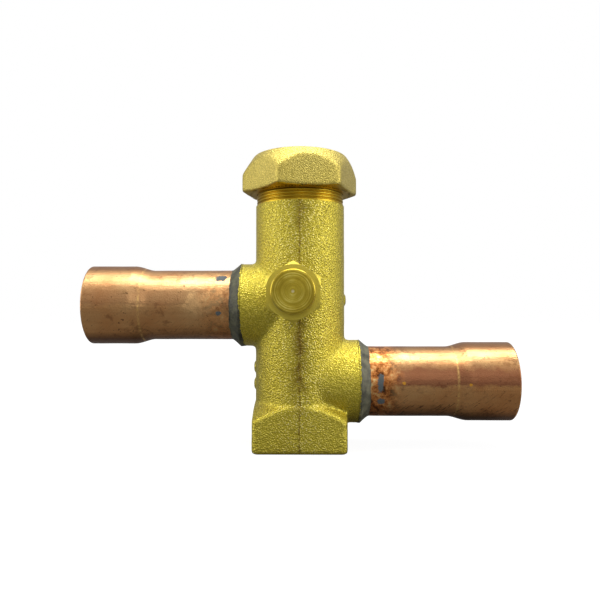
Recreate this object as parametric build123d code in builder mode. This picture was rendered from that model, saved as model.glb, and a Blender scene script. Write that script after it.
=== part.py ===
"""Refrigerant service valve: forged brass body, screw-down stem under a hexagon cap, two brazed copper tube ends
set one above the other, and a capped charging port with a spring-loaded core on the front.

Millimetres, +Z up along the stem, -Y towards the charging port. The origin is the centre of the base's underside.
"""

from build123d import *
import os
from math import radians, sqrt, tan

# ---------------------------------------------------------------- driving dimensions

# forged body
base_width = 29.0
base_corner_r = 1.6
base_edge_r = 1.0
base_height = 14.4
base_slope = 38.0
barrel_d = 28.5
shoulder_z = 76.9
body_top_z = 88.6
rim_chamfer = 0.6
stub_reach = 19.0
stub_edge_r = 0.4
root_fillet = 0.6
floor_wall = 5.5

# top thread and stem cap
cap_thread_d = 27.9
thread_clearance = 0.05
cap_across_flats = 33.0
cap_corner_r = 1.2
cap_turn = 10.0
cap_bottom_z = 80.6
cap_ceiling_wall = 3.5
cap_top_flat_r = 14.8
cap_top_slope = 57.0
cap_top_edge_r = 1.2
cap_under_slope = 12.0
cap_under_start_r = 15.5
cap_gasket_thickness = 1.0
cap_gasket_gap = 0.3
cap_gasket_bore_d = 23.0

# bores inside the body
lower_bore_d = 18.6
seat_bore_d = 15.0
seat_z = 32.0
seat_land = 1.6
stem_bore_d = 20.0
seal_bore_d = 22.0
seal_bore_z = 65.5
clip_z = 85.2
clip_thickness = 1.2
clip_groove_depth = 0.8
clip_band = 1.5
clip_gap_angle = 36.0
clip_ear_d = 4.0
clip_ear_hole_d = 1.6
clip_ear_angle = 30.0

# stem
stem_neck_d = 12.0
stem_foot_d = 17.6
stem_foot_height = 3.0
stem_foot_chamfer = 1.0
stem_thread_length = 15.5
stem_thread_chamfer = 0.8
stem_head_height = 11.5
stem_head_chamfer = 0.6
stem_key_flats = 10.0
stem_key_depth = 7.5
o_ring_wire = 1.8
o_ring_lower_rise = 2.6
o_ring_upper_rise = 6.6
o_ring_groove_width = 2.4
seal_clearance = 0.03
running_clearance = 0.05
disc_d = 18.4
disc_height = 2.6
disc_edge = 0.4
disc_bore_d = 6.2
washer_d = 10.5
washer_thickness = 1.0
screw_shank_d = 3.2
screw_shank_length = 5.0
screw_head_d = 6.0
screw_head_height = 2.2
screw_slot_width = 0.9
screw_slot_depth = 1.0

# copper tube ends and their brazed joints
tube_d = 22.22
stub_land = 2.09
stub_d = tube_d + 2 * stub_land
tube_wall = 1.3
socket_clearance = 0.18
socket_bore_d = tube_d + socket_clearance
socket_depth = 15.0
flare_length = 4.8
tube_end_x = 67.1
tube_seat_x = 12.6
tube_rim_r = 0.45
left_tube_z = 45.2
right_tube_z = 20.7
passage_d = 17.0
braze_length = 2.9
braze_step = 0.35
braze_root_d = stub_d - 2 * braze_step
braze_toe = 0.12
braze_hollow = 0.35

# charging port, on the front
port_z = 48.6
port_x = -1.8
port_boss_d = 13.6
port_boss_y = 15.5
port_thread_d = 11.1
port_tip_y = 22.6
port_nose_d = 7.4
port_undercut_d = 9.6
port_undercut_length = 1.2
port_core_bore_d = 5.3
port_core_bore_depth = 4.6
port_seat_bore_d = 4.4
port_seat_taper = 0.9
port_hole_d = 3.2
port_hole_step_y = 11.0

# charging port cap
port_cap_gap = 0.3
port_cap_flats = 15.9
port_cap_corner_r = 0.3
port_cap_hex_length = 5.2
port_cap_head_d = 13.0
port_cap_head_length = 4.4
port_cap_edge_r = 0.6
port_cap_chamfer_r = 8.1
port_cap_chamfer_slope = 30.0
port_gasket_thickness = 0.8
port_gasket_bore_d = 5.5
port_gasket_gap = 0.3
centre_mark_d = 0.9
centre_mark_depth = 0.5

# charging port core
core_recess = 0.5
core_head_length = 3.6
core_head_clearance = 0.04
core_bridge = 0.8
core_barrel_d = 3.5
core_barrel_bore_d = 2.5
core_barrel_length = 4.6
core_lip = 0.8
core_pin_d = 1.0
core_pin_hole_d = 1.3
core_pin_reach = 0.3
core_collar_d = 1.9
core_collar_length = 0.5
core_collar_gap = 0.3
core_seal_d = 3.3
core_seal_thickness = 0.6
core_cup_d = 3.5
core_cup_length = 0.8
spring_wire = 0.25
spring_mean_d = 1.75
spring_turns = 5

# foundry marks, plain round studs
mark_d = 3.0
mark_height = 0.5
left_mark_z = 22.6
left_mark_spread = 5.4
right_mark_z = 46.8

# ---------------------------------------------------------------- worked-out sizes

barrel_r = barrel_d / 2
tube_r = tube_d / 2
tube_bore_d = tube_d - 2 * tube_wall
socket_d = socket_bore_d + 2 * tube_wall
flare_end_x = tube_end_x - socket_depth
flare_start_x = flare_end_x - flare_length
braze_end_x = stub_reach + braze_length
braze_mid_x = (stub_reach + braze_end_x) / 2 - braze_hollow
braze_mid_r = (braze_root_d / 2 + tube_r + braze_toe) / 2 - braze_hollow
base_reach = base_width
base_rim_z = base_height - (base_reach - barrel_r) * tan(radians(base_slope))
cap_bore_d = cap_thread_d + 2 * thread_clearance
cap_ceiling_z = body_top_z + cap_gasket_thickness
cap_top_z = cap_ceiling_z + cap_ceiling_wall
cap_reach = cap_across_flats / sqrt(3)
cap_under_rise = (cap_reach - cap_under_start_r) * tan(radians(cap_under_slope))
cap_top_fall = (cap_reach - cap_top_flat_r) * tan(radians(cap_top_slope))
stem_foot_z = seat_z + disc_height + running_clearance
stem_thread_z = seal_bore_z - stem_thread_length
stem_head_z = seal_bore_z + running_clearance
stem_top_z = stem_head_z + stem_head_height
stem_thread_d = stem_bore_d - 2 * running_clearance
stem_head_d = seal_bore_d - 2 * seal_clearance
o_ring_inner_d = stem_head_d - 2 * o_ring_wire
o_ring_lower_z = stem_head_z + o_ring_lower_rise
o_ring_upper_z = stem_head_z + o_ring_upper_rise
spigot_d = disc_bore_d - 2 * running_clearance
spigot_bottom_z = seat_z - running_clearance
washer_z = spigot_bottom_z - washer_thickness
screw_head_z = washer_z - screw_head_height
clip_groove_d = seal_bore_d + 2 * clip_groove_depth
clip_bore_d = seal_bore_d - 2 * clip_band
clip_gap_y = clip_groove_d * tan(radians(clip_gap_angle / 2))
port_cap_rear_y = port_boss_y + port_cap_gap
port_cap_floor_y = port_tip_y + port_gasket_thickness
port_cap_shoulder_y = port_cap_rear_y + port_cap_hex_length
port_cap_front_y = port_cap_shoulder_y + port_cap_head_length
port_cap_bore_d = port_thread_d + 2 * thread_clearance
port_cap_reach = port_cap_flats / sqrt(3)
port_cap_slope_run = (port_cap_reach - port_cap_chamfer_r) * tan(radians(port_cap_chamfer_slope))
core_front_y = port_tip_y - core_recess
core_head_rear_y = core_front_y - core_head_length
core_head_d = port_core_bore_d - 2 * core_head_clearance
core_rear_y = core_head_rear_y - core_barrel_length
core_taper_y = port_tip_y - port_core_bore_depth
core_taper_end_y = core_taper_y - port_seat_taper
core_collar_front_y = core_front_y - core_bridge - core_collar_gap
core_collar_rear_y = core_collar_front_y - core_collar_length
core_cup_front_y = core_rear_y - core_seal_thickness
core_cup_rear_y = core_cup_front_y - core_cup_length
spring_rear_y = core_rear_y + core_lip
spring_coil_length = core_collar_rear_y - spring_rear_y - spring_wire

# The port's outlines lie in this plane: radius along its x, distance forward of the stem's axis along its y.
port_plane = Plane(origin=(port_x, 0, port_z), x_dir=(1, 0, 0), z_dir=(0, 0, -1))
port_axis = Axis((port_x, 0, port_z), (0, -1, 0))

# Planes across the port's axis and across each tube's axis, facing outwards.
port_face = Plane(origin=(port_x, 0, port_z), x_dir=(1, 0, 0), z_dir=(0, -1, 0))
left_face = Plane(origin=(0, 0, left_tube_z), x_dir=(0, 1, 0), z_dir=(-1, 0, 0))
right_face = Plane(origin=(0, 0, right_tube_z), x_dir=(0, 1, 0), z_dir=(1, 0, 0))

# Planes along each tube's axis: radius along their x, distance outwards along their y.
left_plane = Plane(origin=(0, 0, left_tube_z), x_dir=(0, 0, 1), z_dir=(0, -1, 0))
right_plane = Plane(origin=(0, 0, right_tube_z), x_dir=(0, 0, 1), z_dir=(0, 1, 0))
left_axis = Axis((0, 0, left_tube_z), (-1, 0, 0))
right_axis = Axis((0, 0, right_tube_z), (1, 0, 0))

os.makedirs("parts", exist_ok=True)

# ---------------------------------------------------------------- forged body

with BuildPart() as valve_body:
    # square base, sloped at the top as a cone, like the corners of a nut
    with BuildSketch():
        RectangleRounded(base_width, base_width, base_corner_r)
    extrude(amount=base_height)
    with BuildSketch(Plane.XZ):
        Polygon(
            (0, 0),
            (base_reach, 0),
            (base_reach, base_rim_z),
            (barrel_r, base_height),
            (0, base_height),
            align=None,
        )
    revolve(axis=Axis.Z, mode=Mode.INTERSECT)
    fillet(valve_body.faces().sort_by(Axis.Z)[0].edges(), base_edge_r)

    # barrel, and one stub for each tube, their roots rounded
    with BuildSketch(Plane.XY.offset(floor_wall)):
        Circle(barrel_r)
    extrude(amount=shoulder_z - floor_wall)
    for tube_face in (left_face, right_face):
        with BuildSketch(tube_face):
            Circle(stub_d / 2)
        extrude(amount=stub_reach)
    curved = valve_body.edges().filter_by(GeomType.BSPLINE)
    fillet([edge for edge in curved if edge.bounding_box().max.X < 0], root_fillet)
    curved = valve_body.edges().filter_by(GeomType.BSPLINE)
    fillet([edge for edge in curved if edge.bounding_box().min.X > 0], root_fillet)
    end_faces = valve_body.faces().filter_by(Axis.X).sort_by(Axis.X)
    fillet(end_faces[0].edges() + end_faces[-1].edges(), stub_edge_r)

    # charging port boss, with its thread and its sealing nose
    with BuildSketch(port_plane):
        Polygon(
            (0, 0),
            (port_boss_d / 2, 0),
            (port_boss_d / 2, port_boss_y),
            (port_undercut_d / 2, port_boss_y),
            (port_undercut_d / 2, port_boss_y + port_undercut_length),
            (port_thread_d / 2, port_boss_y + port_undercut_length + (port_thread_d - port_undercut_d) / 2),
            (port_thread_d / 2, port_tip_y - (port_thread_d - port_nose_d) / 2),
            (port_nose_d / 2, port_tip_y),
            (0, port_tip_y),
            align=None,
        )
    revolve(axis=port_axis)

    # turned top for the cap's thread
    with BuildSketch(Plane.XY.offset(shoulder_z)):
        Circle(cap_thread_d / 2)
    extrude(amount=body_top_z - shoulder_z)
    chamfer(valve_body.faces().sort_by(Axis.Z)[-1].edges(), rim_chamfer)

    # foundry marks on the flanks
    with BuildSketch(Plane.YZ.offset(-barrel_r - mark_height)):
        with Locations((0, left_mark_z - left_mark_spread / 2), (0, left_mark_z + left_mark_spread / 2)):
            Circle(mark_d / 2)
    extrude(amount=barrel_r)
    with BuildSketch(Plane.YZ.offset(mark_height)):
        with Locations((0, right_mark_z)):
            Circle(mark_d / 2)
    extrude(amount=barrel_r)

    # stem bore: lower chamber, seat, upper chamber, seal bore and the retaining ring's groove
    with BuildSketch(Plane.XZ):
        Polygon(
            (0, floor_wall),
            (lower_bore_d / 2, floor_wall),
            (lower_bore_d / 2, seat_z - seat_land - (lower_bore_d - seat_bore_d) / 2),
            (seat_bore_d / 2, seat_z - seat_land),
            (seat_bore_d / 2, seat_z),
            (stem_bore_d / 2, seat_z),
            (stem_bore_d / 2, seal_bore_z),
            (seal_bore_d / 2, seal_bore_z),
            (seal_bore_d / 2, clip_z),
            (clip_groove_d / 2, clip_z),
            (clip_groove_d / 2, clip_z + clip_thickness),
            (seal_bore_d / 2, clip_z + clip_thickness),
            (seal_bore_d / 2, body_top_z),
            (0, body_top_z),
            align=None,
        )
    revolve(axis=Axis.Z, mode=Mode.SUBTRACT)

    # passages, and the pockets the tubes stand in
    for tube_face in (left_face, right_face):
        with BuildSketch(tube_face):
            Circle(passage_d / 2)
        extrude(amount=stub_reach, mode=Mode.SUBTRACT)
        with BuildSketch(tube_face.offset(tube_seat_x)):
            Circle(tube_r)
        extrude(amount=stub_reach - tube_seat_x, mode=Mode.SUBTRACT)

    # port bore, its tapered seat for the core, and the hole into the upper chamber
    with BuildSketch(port_plane):
        Polygon(
            (0, port_tip_y),
            (port_core_bore_d / 2, port_tip_y),
            (port_core_bore_d / 2, core_taper_y),
            (port_seat_bore_d / 2, core_taper_end_y),
            (port_seat_bore_d / 2, port_hole_step_y),
            (port_hole_d / 2, port_hole_step_y),
            (port_hole_d / 2, stem_bore_d / 4),
            (0, stem_bore_d / 4),
            align=None,
        )
    revolve(axis=port_axis, mode=Mode.SUBTRACT)
valve_body.part.label = "valve_body"
export_step(valve_body.part, "parts/valve_body.step")

# ---------------------------------------------------------------- copper tube ends

# outline of one tube: radius, distance from the stem's axis
tube_outline = [
    (tube_bore_d / 2, tube_seat_x),
    (tube_r, tube_seat_x),
    (tube_r, flare_start_x),
    (socket_d / 2, flare_end_x),
    (socket_d / 2, tube_end_x),
    (socket_bore_d / 2, tube_end_x),
    (socket_bore_d / 2, flare_end_x),
    (tube_bore_d / 2, flare_start_x),
]

with BuildPart() as left_tube:
    with BuildSketch(left_plane):
        Polygon(*tube_outline, align=None)
    revolve(axis=left_axis)
    fillet(left_tube.faces().sort_by(Axis.X)[0].edges(), tube_rim_r)
left_tube.part.label = "left_tube"
export_step(left_tube.part, "parts/left_tube.step")

with BuildPart() as right_tube:
    with BuildSketch(right_plane):
        Polygon(*tube_outline, align=None)
    revolve(axis=right_axis)
    fillet(right_tube.faces().sort_by(Axis.X)[-1].edges(), tube_rim_r)
right_tube.part.label = "right_tube"
export_step(right_tube.part, "parts/right_tube.step")

# Each braze fillet fills the step between a stub's end and its tube, hollow in outline.
with BuildPart() as left_braze_ring:
    with BuildSketch(left_plane):
        with BuildLine():
            Polyline(
                (tube_r + braze_toe, braze_end_x),
                (tube_r, braze_end_x),
                (tube_r, stub_reach),
                (braze_root_d / 2, stub_reach),
            )
            ThreePointArc(
                (braze_root_d / 2, stub_reach),
                (braze_mid_r, braze_mid_x),
                (tube_r + braze_toe, braze_end_x),
            )
        make_face()
    revolve(axis=left_axis)
left_braze_ring.part.label = "left_braze_ring"
export_step(left_braze_ring.part, "parts/left_braze_ring.step")

with BuildPart() as right_braze_ring:
    with BuildSketch(right_plane):
        with BuildLine():
            Polyline(
                (tube_r + braze_toe, braze_end_x),
                (tube_r, braze_end_x),
                (tube_r, stub_reach),
                (braze_root_d / 2, stub_reach),
            )
            ThreePointArc(
                (braze_root_d / 2, stub_reach),
                (braze_mid_r, braze_mid_x),
                (tube_r + braze_toe, braze_end_x),
            )
        make_face()
    revolve(axis=right_axis)
right_braze_ring.part.label = "right_braze_ring"
export_step(right_braze_ring.part, "parts/right_braze_ring.step")

# ---------------------------------------------------------------- stem cap

with BuildPart() as stem_cap:
    with BuildSketch(Plane.XY.offset(cap_bottom_z)) as cap_hexagon:
        RegularPolygon(cap_across_flats / 2, 6, major_radius=False, rotation=cap_turn)
        fillet(cap_hexagon.vertices(), cap_corner_r)
    extrude(amount=cap_top_z - cap_bottom_z)
    with BuildSketch(Plane.XZ):
        Polygon(
            (0, cap_bottom_z),
            (cap_under_start_r, cap_bottom_z),
            (cap_reach, cap_bottom_z + cap_under_rise),
            (cap_reach, cap_top_z - cap_top_fall),
            (cap_top_flat_r, cap_top_z),
            (0, cap_top_z),
            align=None,
        )
    revolve(axis=Axis.Z, mode=Mode.INTERSECT)
    fillet(stem_cap.faces().sort_by(Axis.Z)[-1].edges(), cap_top_edge_r)
    with BuildSketch(Plane.XY.offset(cap_bottom_z)):
        Circle(cap_bore_d / 2)
    extrude(amount=cap_ceiling_z - cap_bottom_z, mode=Mode.SUBTRACT)
stem_cap.part.label = "stem_cap"
export_step(stem_cap.part, "parts/stem_cap.step")

with BuildPart() as stem_cap_gasket:
    with BuildSketch(Plane.XY.offset(body_top_z)):
        Circle(cap_bore_d / 2 - cap_gasket_gap)
        Circle(cap_gasket_bore_d / 2, mode=Mode.SUBTRACT)
    extrude(amount=cap_gasket_thickness)
stem_cap_gasket.part.label = "stem_cap_gasket"
export_step(stem_cap_gasket.part, "parts/stem_cap_gasket.step")

# ---------------------------------------------------------------- stem, its seals and its retaining ring

with BuildPart() as stem:
    with BuildSketch(Plane.XZ):
        Polygon(
            (0, spigot_bottom_z),
            (spigot_d / 2, spigot_bottom_z),
            (spigot_d / 2, stem_foot_z),
            (stem_foot_d / 2, stem_foot_z),
            (stem_foot_d / 2, stem_foot_z + stem_foot_height - stem_foot_chamfer),
            (stem_foot_d / 2 - stem_foot_chamfer, stem_foot_z + stem_foot_height),
            (stem_neck_d / 2, stem_foot_z + stem_foot_height),
            (stem_neck_d / 2, stem_thread_z),
            (stem_thread_d / 2 - stem_thread_chamfer, stem_thread_z),
            (stem_thread_d / 2, stem_thread_z + stem_thread_chamfer),
            (stem_thread_d / 2, stem_head_z),
            (stem_head_d / 2, stem_head_z),
            (stem_head_d / 2, stem_top_z - stem_head_chamfer),
            (stem_head_d / 2 - stem_head_chamfer, stem_top_z),
            (0, stem_top_z),
            align=None,
        )
    revolve(axis=Axis.Z)
    for groove_z in (o_ring_lower_z, o_ring_upper_z):
        with BuildSketch(Plane.XY.offset(groove_z - o_ring_groove_width / 2)):
            Circle(seal_bore_d / 2)
            Circle(o_ring_inner_d / 2, mode=Mode.SUBTRACT)
        extrude(amount=o_ring_groove_width, mode=Mode.SUBTRACT)
    with BuildSketch(Plane.XY.offset(stem_top_z)):
        RegularPolygon(stem_key_flats / 2, 6, major_radius=False)
    extrude(amount=-stem_key_depth, mode=Mode.SUBTRACT)
    with BuildSketch(Plane.XY.offset(spigot_bottom_z)):
        Circle(screw_shank_d / 2)
    extrude(amount=screw_shank_length, mode=Mode.SUBTRACT)
stem.part.label = "stem"
export_step(stem.part, "parts/stem.step")

with BuildPart() as stem_o_ring_lower:
    with BuildSketch(Plane.XZ):
        with Locations(((o_ring_inner_d + o_ring_wire) / 2, o_ring_lower_z)):
            Circle(o_ring_wire / 2)
    revolve(axis=Axis.Z)
stem_o_ring_lower.part.label = "stem_o_ring_lower"
export_step(stem_o_ring_lower.part, "parts/stem_o_ring_lower.step")

with BuildPart() as stem_o_ring_upper:
    with BuildSketch(Plane.XZ):
        with Locations(((o_ring_inner_d + o_ring_wire) / 2, o_ring_upper_z)):
            Circle(o_ring_wire / 2)
    revolve(axis=Axis.Z)
stem_o_ring_upper.part.label = "stem_o_ring_upper"
export_step(stem_o_ring_upper.part, "parts/stem_o_ring_upper.step")

# The soft disc stands on the seat and swivels on the stem's spigot.
with BuildPart() as seat_disc:
    with BuildSketch(Plane.XY.offset(seat_z)):
        Circle(disc_d / 2)
    extrude(amount=disc_height)
    chamfer(seat_disc.edges(), disc_edge)
    with BuildSketch(Plane.XY.offset(seat_z)):
        Circle(disc_bore_d / 2)
    extrude(amount=disc_height, mode=Mode.SUBTRACT)
seat_disc.part.label = "seat_disc"
export_step(seat_disc.part, "parts/seat_disc.step")

with BuildPart() as disc_washer:
    with BuildSketch(Plane.XY.offset(washer_z)):
        Circle(washer_d / 2)
        Circle(screw_shank_d / 2, mode=Mode.SUBTRACT)
    extrude(amount=washer_thickness)
disc_washer.part.label = "disc_washer"
export_step(disc_washer.part, "parts/disc_washer.step")

with BuildPart() as disc_screw:
    with BuildSketch(Plane.XY.offset(screw_head_z)):
        Circle(screw_head_d / 2)
    extrude(amount=screw_head_height)
    with BuildSketch(Plane.XY.offset(washer_z)):
        Circle(screw_shank_d / 2)
    extrude(amount=washer_thickness + screw_shank_length)
    with BuildSketch(Plane.XY.offset(screw_head_z)):
        Rectangle(screw_head_d, screw_slot_width)
    extrude(amount=screw_slot_depth, mode=Mode.SUBTRACT)
disc_screw.part.label = "disc_screw"
export_step(disc_screw.part, "parts/disc_screw.step")

with BuildPart() as retaining_ring:
    with BuildSketch(Plane.XY.offset(clip_z)):
        Circle(clip_groove_d / 2)
        Circle(clip_bore_d / 2, mode=Mode.SUBTRACT)
        Polygon((0, 0), (clip_groove_d, clip_gap_y), (clip_groove_d, -clip_gap_y), align=None, mode=Mode.SUBTRACT)
        with PolarLocations((clip_bore_d - clip_ear_hole_d) / 2, 2, -clip_ear_angle, 4 * clip_ear_angle):
            Circle(clip_ear_d / 2)
        with PolarLocations((clip_bore_d - clip_ear_hole_d) / 2, 2, -clip_ear_angle, 4 * clip_ear_angle):
            Circle(clip_ear_hole_d / 2, mode=Mode.SUBTRACT)
    extrude(amount=clip_thickness)
retaining_ring.part.label = "retaining_ring"
export_step(retaining_ring.part, "parts/retaining_ring.step")

# ---------------------------------------------------------------- charging port cap and gasket

with BuildPart() as port_cap:
    with BuildSketch(port_face.offset(port_cap_rear_y)) as port_hexagon:
        RegularPolygon(port_cap_flats / 2, 6, major_radius=False, rotation=30)
        fillet(port_hexagon.vertices(), port_cap_corner_r)
    extrude(amount=port_cap_hex_length)
    with BuildSketch(port_plane):
        Polygon(
            (0, port_cap_rear_y),
            (port_cap_chamfer_r, port_cap_rear_y),
            (port_cap_reach, port_cap_rear_y + port_cap_slope_run),
            (port_cap_reach, port_cap_shoulder_y - port_cap_slope_run),
            (port_cap_chamfer_r, port_cap_shoulder_y),
            (0, port_cap_shoulder_y),
            align=None,
        )
    revolve(axis=port_axis, mode=Mode.INTERSECT)
    with BuildSketch(port_face.offset(port_cap_shoulder_y)):
        Circle(port_cap_head_d / 2)
    extrude(amount=port_cap_head_length)
    fillet(port_cap.faces().sort_by(Axis.Y)[0].edges(), port_cap_edge_r)
    with BuildSketch(port_face.offset(port_cap_rear_y)):
        Circle(port_cap_bore_d / 2)
    extrude(amount=port_cap_floor_y - port_cap_rear_y, mode=Mode.SUBTRACT)
    with BuildSketch(port_face.offset(port_cap_front_y)):
        Circle(centre_mark_d / 2)
    extrude(amount=-centre_mark_depth, mode=Mode.SUBTRACT)
port_cap.part.label = "port_cap"
export_step(port_cap.part, "parts/port_cap.step")

with BuildPart() as port_cap_gasket:
    with BuildSketch(port_face.offset(port_tip_y)):
        Circle(port_cap_bore_d / 2 - port_gasket_gap)
        Circle(port_gasket_bore_d / 2, mode=Mode.SUBTRACT)
    extrude(amount=port_gasket_thickness)
port_cap_gasket.part.label = "port_cap_gasket"
export_step(port_cap_gasket.part, "parts/port_cap_gasket.step")

# ---------------------------------------------------------------- charging port core

with BuildPart() as core_barrel:
    with BuildSketch(port_plane):
        Polygon(
            (core_pin_hole_d / 2, core_rear_y),
            (core_barrel_d / 2, core_rear_y),
            (core_barrel_d / 2, core_head_rear_y),
            (core_head_d / 2, core_head_rear_y),
            (core_head_d / 2, core_front_y),
            (core_pin_hole_d / 2, core_front_y),
            (core_pin_hole_d / 2, core_front_y - core_bridge),
            (core_barrel_bore_d / 2, core_front_y - core_bridge),
            (core_barrel_bore_d / 2, spring_rear_y),
            (core_pin_hole_d / 2, spring_rear_y),
            align=None,
        )
    revolve(axis=port_axis)
core_barrel.part.label = "core_barrel"
export_step(core_barrel.part, "parts/core_barrel.step")

with BuildPart() as core_gasket:
    with BuildSketch(port_plane):
        Polygon(
            (core_barrel_d / 2, core_taper_end_y),
            (port_seat_bore_d / 2, core_taper_end_y),
            (port_core_bore_d / 2, core_taper_y),
            (port_core_bore_d / 2, core_head_rear_y),
            (core_barrel_d / 2, core_head_rear_y),
            align=None,
        )
    revolve(axis=port_axis)
core_gasket.part.label = "core_gasket"
export_step(core_gasket.part, "parts/core_gasket.step")

with BuildPart() as core_pin:
    with BuildSketch(port_plane):
        Polygon(
            (0, core_cup_rear_y),
            (core_cup_d / 2, core_cup_rear_y),
            (core_cup_d / 2, core_cup_front_y),
            (core_pin_d / 2, core_cup_front_y),
            (core_pin_d / 2, core_collar_rear_y),
            (core_collar_d / 2, core_collar_rear_y),
            (core_collar_d / 2, core_collar_front_y),
            (core_pin_d / 2, core_collar_front_y),
            (core_pin_d / 2, core_front_y + core_pin_reach),
            (0, core_front_y + core_pin_reach),
            align=None,
        )
    revolve(axis=port_axis)
core_pin.part.label = "core_pin"
export_step(core_pin.part, "parts/core_pin.step")

with BuildPart() as core_seal:
    with BuildSketch(port_face.offset(core_cup_front_y)):
        Circle(core_seal_d / 2)
        Circle(core_pin_d / 2, mode=Mode.SUBTRACT)
    extrude(amount=core_seal_thickness)
core_seal.part.label = "core_seal"
export_step(core_seal.part, "parts/core_seal.step")

# The return spring stands between the barrel's rear lip and the pin's collar.
with BuildPart() as core_spring:
    with BuildLine() as spring_line:
        Helix(
            pitch=spring_coil_length / spring_turns,
            height=spring_coil_length,
            radius=spring_mean_d / 2,
            center=(port_x, -spring_rear_y - spring_wire / 2, port_z),
            direction=(0, -1, 0),
        )
    with BuildSketch(spring_line.line ^ 0):
        Circle(spring_wire / 2)
    sweep(is_frenet=True)
core_spring.part.label = "core_spring"
export_step(core_spring.part, "parts/core_spring.step")
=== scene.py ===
# %% [markdown]
# # Dressing a refrigerant service valve
# The valve is one brass forging with two copper tube ends brazed into it, a large hexagon cap over the
# stem and a small cap over the charging port. The solids come ready made from the CAD, at their real
# size. This lesson gives them their skins: shot-blasted brass, turned brass, drawn copper and burnt flux,
# and it cuts the real thread grooves, rounds the forging's roots and roughens the braze.

import math

import bmesh
import bpy
import numpy as np
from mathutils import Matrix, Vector, noise


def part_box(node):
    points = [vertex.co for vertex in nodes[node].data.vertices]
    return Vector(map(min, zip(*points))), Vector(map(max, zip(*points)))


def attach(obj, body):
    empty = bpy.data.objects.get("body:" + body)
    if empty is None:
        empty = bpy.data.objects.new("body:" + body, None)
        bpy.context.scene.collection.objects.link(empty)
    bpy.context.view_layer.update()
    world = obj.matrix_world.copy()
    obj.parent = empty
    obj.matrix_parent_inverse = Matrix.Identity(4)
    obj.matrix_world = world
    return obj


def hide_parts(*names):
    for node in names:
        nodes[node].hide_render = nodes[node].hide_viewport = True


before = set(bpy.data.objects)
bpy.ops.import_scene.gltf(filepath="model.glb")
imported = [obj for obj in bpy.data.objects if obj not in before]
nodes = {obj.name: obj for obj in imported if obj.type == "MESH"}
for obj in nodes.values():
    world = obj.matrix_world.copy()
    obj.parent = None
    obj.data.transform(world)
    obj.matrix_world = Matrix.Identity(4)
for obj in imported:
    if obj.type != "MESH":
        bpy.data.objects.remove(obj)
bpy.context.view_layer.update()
MM = 0.001
print("pieces from the CAD:", len(nodes))

# %% [markdown]
# ## Sizes that the skins need
# Every skin has to follow the solids. The sizes are read from the boxes of the CAD pieces, so that a
# change in the CAD carries through, and only what no box can tell, such as a thread's pitch, is written
# here.

# %% Read the sizes
body_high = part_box("valve_body")[1]
left_low, left_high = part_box("left_tube")
right_low, right_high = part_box("right_tube")
LEFT_Z = (left_low[2] + left_high[2]) / 2
RIGHT_Z = (right_low[2] + right_high[2]) / 2
TUBE_END = right_high[0]
STUB_END = body_high[0]
BODY_TOP = body_high[2]
port_low, port_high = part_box("port_cap")
PORT_X = (port_low[0] + port_high[0]) / 2
PORT_Z = (port_low[2] + port_high[2]) / 2
BARREL_R = 14.25 * MM
STUB_R = 13.2 * MM
TUBE_R = 11.11 * MM
SHOULDER_Z = 76.9 * MM
THREAD_R = 13.95 * MM
THREAD_PITCH = 1.0 * MM
NOSE_R = 5.55 * MM
NOSE_PITCH = 1.27 * MM
NOSE_FROM, NOSE_TO = 17.45 * MM, 20.75 * MM
print("tube heights", round(LEFT_Z, 4), round(RIGHT_Z, 4), "body top", round(BODY_TOP, 4))

# %% [markdown]
# ## Camera
# The valve stands square to the viewer, a little left of the camera, and close enough for the far tube
# ends to show their perspective. The lens is a short one for that reason: a long lens would flatten the
# caps.

# %% Place the camera
camera_data = bpy.data.cameras.new("camera")
camera = bpy.data.objects.new("camera", camera_data)
bpy.context.scene.collection.objects.link(camera)
camera_data.sensor_width = 36.0
camera_data.lens = 36.2
camera_data.clip_start = 0.01
camera.location = (1.92 * MM, -195.6 * MM, 41.67 * MM)
camera.rotation_euler = (math.radians(91.5), 0.0, math.radians(0.57))
bpy.context.scene.camera = camera
print("lens", round(camera_data.lens, 1), "mm")

# %% [markdown]
# ## Light
# Brass and copper show what is around them, so the light is a tent: a large soft lamp on each side, one
# above and a weak one in front. Small bright lamps would be quicker to place, but they leave hard white
# dots on round metal, where large ones draw long soft bands.

# %% Hang the lamps
scene = bpy.context.scene
scene.view_settings.view_transform = "Standard"
AIM = (0.0, 0.0, 0.045)


def hang_lamp(name, place, width, height, watts):
    """One rectangular lamp, aimed at the valve, in metres."""
    data = bpy.data.lights.new(name, "AREA")
    data.shape = "RECTANGLE"
    data.size = width
    data.size_y = height
    data.energy = watts
    lamp = bpy.data.objects.new(name, data)
    lamp.location = place
    lamp.rotation_euler = (Vector(AIM) - Vector(place)).to_track_quat("-Z", "Y").to_euler()
    scene.collection.objects.link(lamp)


hang_lamp("lamp_left", (-0.60, -0.16, 0.18), 0.40, 0.5, 1.5)
hang_lamp("lamp_right", (0.60, -0.20, 0.16), 0.40, 0.5, 1.9)
hang_lamp("lamp_top", (0.02, -0.05, 0.62), 0.62, 0.22, 3.15)
hang_lamp("lamp_front", (0.10, -0.75, 0.34), 0.30, 0.2, 0.35)

# %% [markdown]
# ## Node helpers
# Materials are built in code from small blocks. They could be wired by hand in the shader editor, but
# code can be read, repeated and changed by one number. One helper adds a node and fills its inputs, and a
# few more name the steps that come back in every recipe, so that each recipe below reads as a list of
# steps.

# %% Helpers for single nodes
def add(tree, kind, _props=None, **inputs):
    """Adds a node. Inputs go by name, or by number as _0 and _1, and take a value or a socket."""
    node = tree.nodes.new("ShaderNode" + kind)
    for key, value in (_props or {}).items():
        setattr(node, key, value)
    for key, value in inputs.items():
        socket = node.inputs[int(key[1:])] if key[0] == "_" else node.inputs[key.replace("_", " ")]
        if isinstance(value, bpy.types.NodeSocket):
            tree.links.new(value, socket)
        else:
            socket.default_value = value
    return node


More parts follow.
